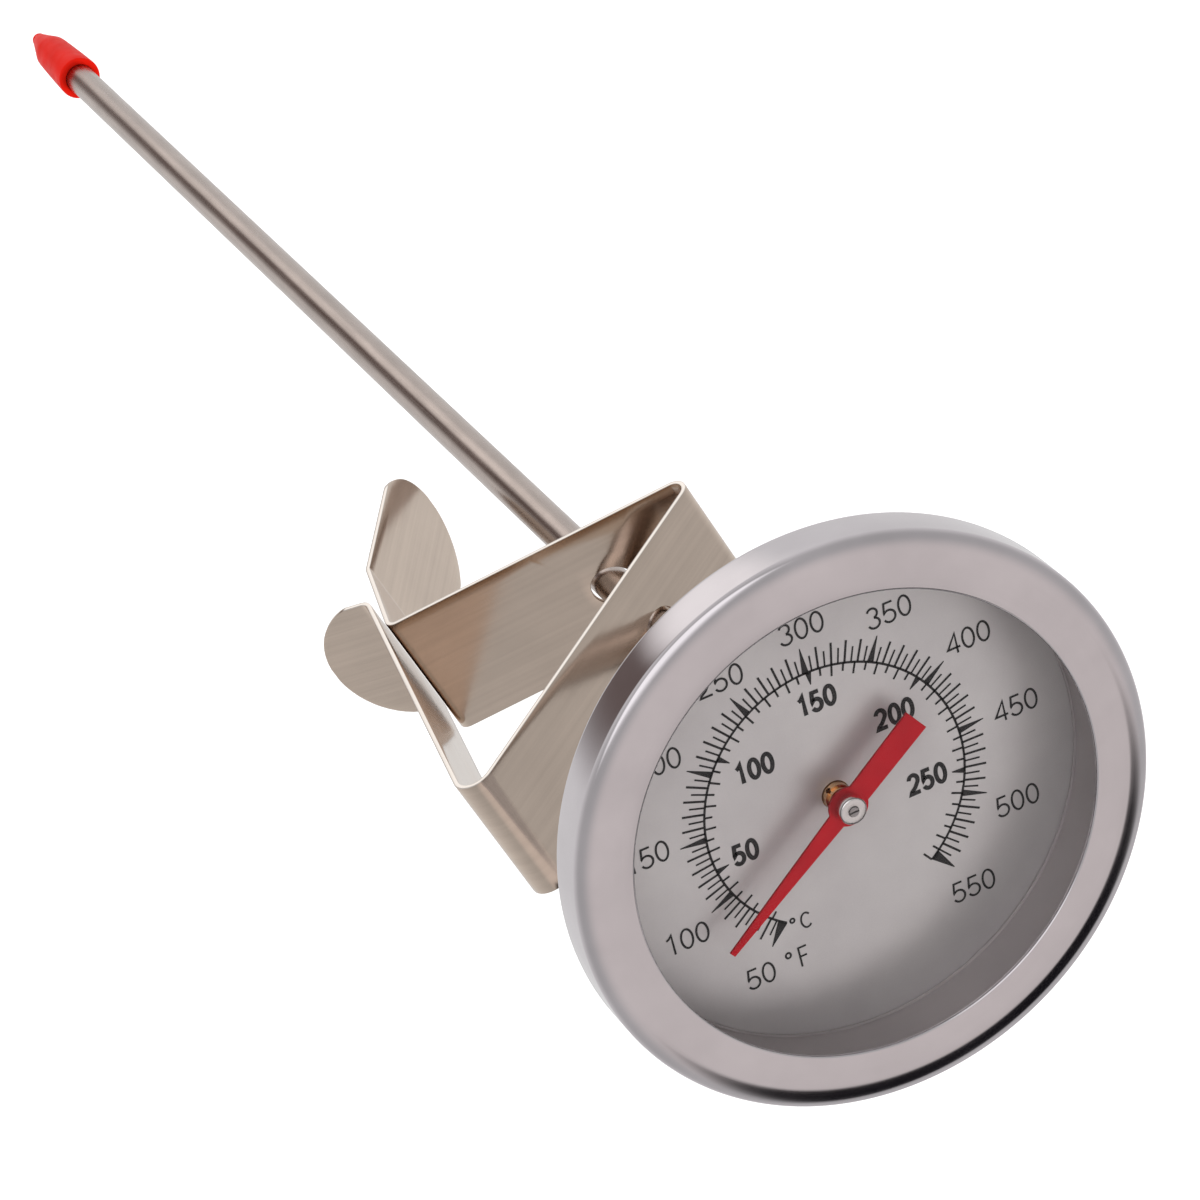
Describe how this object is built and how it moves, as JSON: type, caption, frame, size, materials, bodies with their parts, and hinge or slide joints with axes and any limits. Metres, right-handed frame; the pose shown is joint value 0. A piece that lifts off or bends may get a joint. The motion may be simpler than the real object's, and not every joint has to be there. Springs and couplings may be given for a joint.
{
  "type": "dial thermometer",
  "caption": "Bimetal dial thermometer: round metal head with a red pointer, long thin stem, folded spring clip that slides on it and a red tip cap.",
  "frame": {"origin": "on the stem's axis, at the back face of the case, where the stem leaves it", "axes": "+Z along the stem, out through the face of the dial; +Y towards the dial's 12 o'clock; +X towards its 3 o'clock"},
  "size_m": [0.0604, 0.0604, 0.2819],
  "materials": {
    "bezel_steel": "satin pressed stainless steel",
    "window_glass": "clear, flat",
    "gasket_rubber": "matt black",
    "retainer_metal": "plain grey",
    "dial_face": "satin, printed with black scales",
    "case_steel": "satin pressed stainless steel",
    "stem_steel": "drawn stainless tube",
    "bush_brass": "turned, bright",
    "bush_plastic": "low friction white plastic",
    "bimetal": "rolled strip, dull",
    "pointer_red": "dark red paint",
    "pointer_cap_metal": "turned, bright",
    "spindle_steel": "drawn wire",
    "clip_steel": "bright rolled spring strip with fine lengthwise lines",
    "cap_vinyl": "smooth red soft vinyl"
  },
  "bodies": {
    "thermometer": {"bezel_ring": "bezel_steel", "glass_lens": "window_glass", "lens_gasket": "gasket_rubber", "dial_retainer": "retainer_metal", "dial_plate": "dial_face", "case_cup": "case_steel", "stem_collar": "case_steel", "stem_washer": "case_steel", "stem_tube": "stem_steel", "guide_bush": "bush_brass", "lower_bush": "bush_plastic", "bimetal_helix": "bimetal", "helix_anchor": "bush_brass", "stem_plug": "stem_steel"},
    "pointer_set": {"pointer": "pointer_red", "pointer_hub": "bush_brass", "pointer_cap": "pointer_cap_metal", "spindle": "spindle_steel", "helix_coupling": "bush_brass"},
    "clip": {"clip_stem_arm": "clip_steel"},
    "clip_jaw": {"clip_jaw_arm": "clip_steel"},
    "cap": {"tip_cap": "cap_vinyl"}
  },
  "joints": [
    {"name": "pointer_turn", "type": "hinge", "parent": "thermometer", "child": "pointer_set", "pos_m": [0, 0, 0.0078], "axis": [0, 0, 1], "range_deg": [-266.8, 18.2], "stiffness_Nm_per_rad": 0.0003},
    {"name": "clip_slide", "type": "slide", "parent": "thermometer", "child": "clip", "axis": [0, 0, 1], "range_m": [-0.193, 0.025]},
    {"name": "jaw_open", "type": "hinge", "parent": "clip", "child": "clip_jaw", "pos_m": [-0.02396, -0.00774, -0.02701], "axis": [-0.3074, 0.9516, 0], "range_deg": [0, 12], "stiffness_Nm_per_rad": 0.4, "springref_deg": -8.59},
    {"name": "cap_pull", "type": "slide", "parent": "thermometer", "child": "cap", "axis": [0, 0, -1], "range_m": [0, 0.02]}
  ]
}
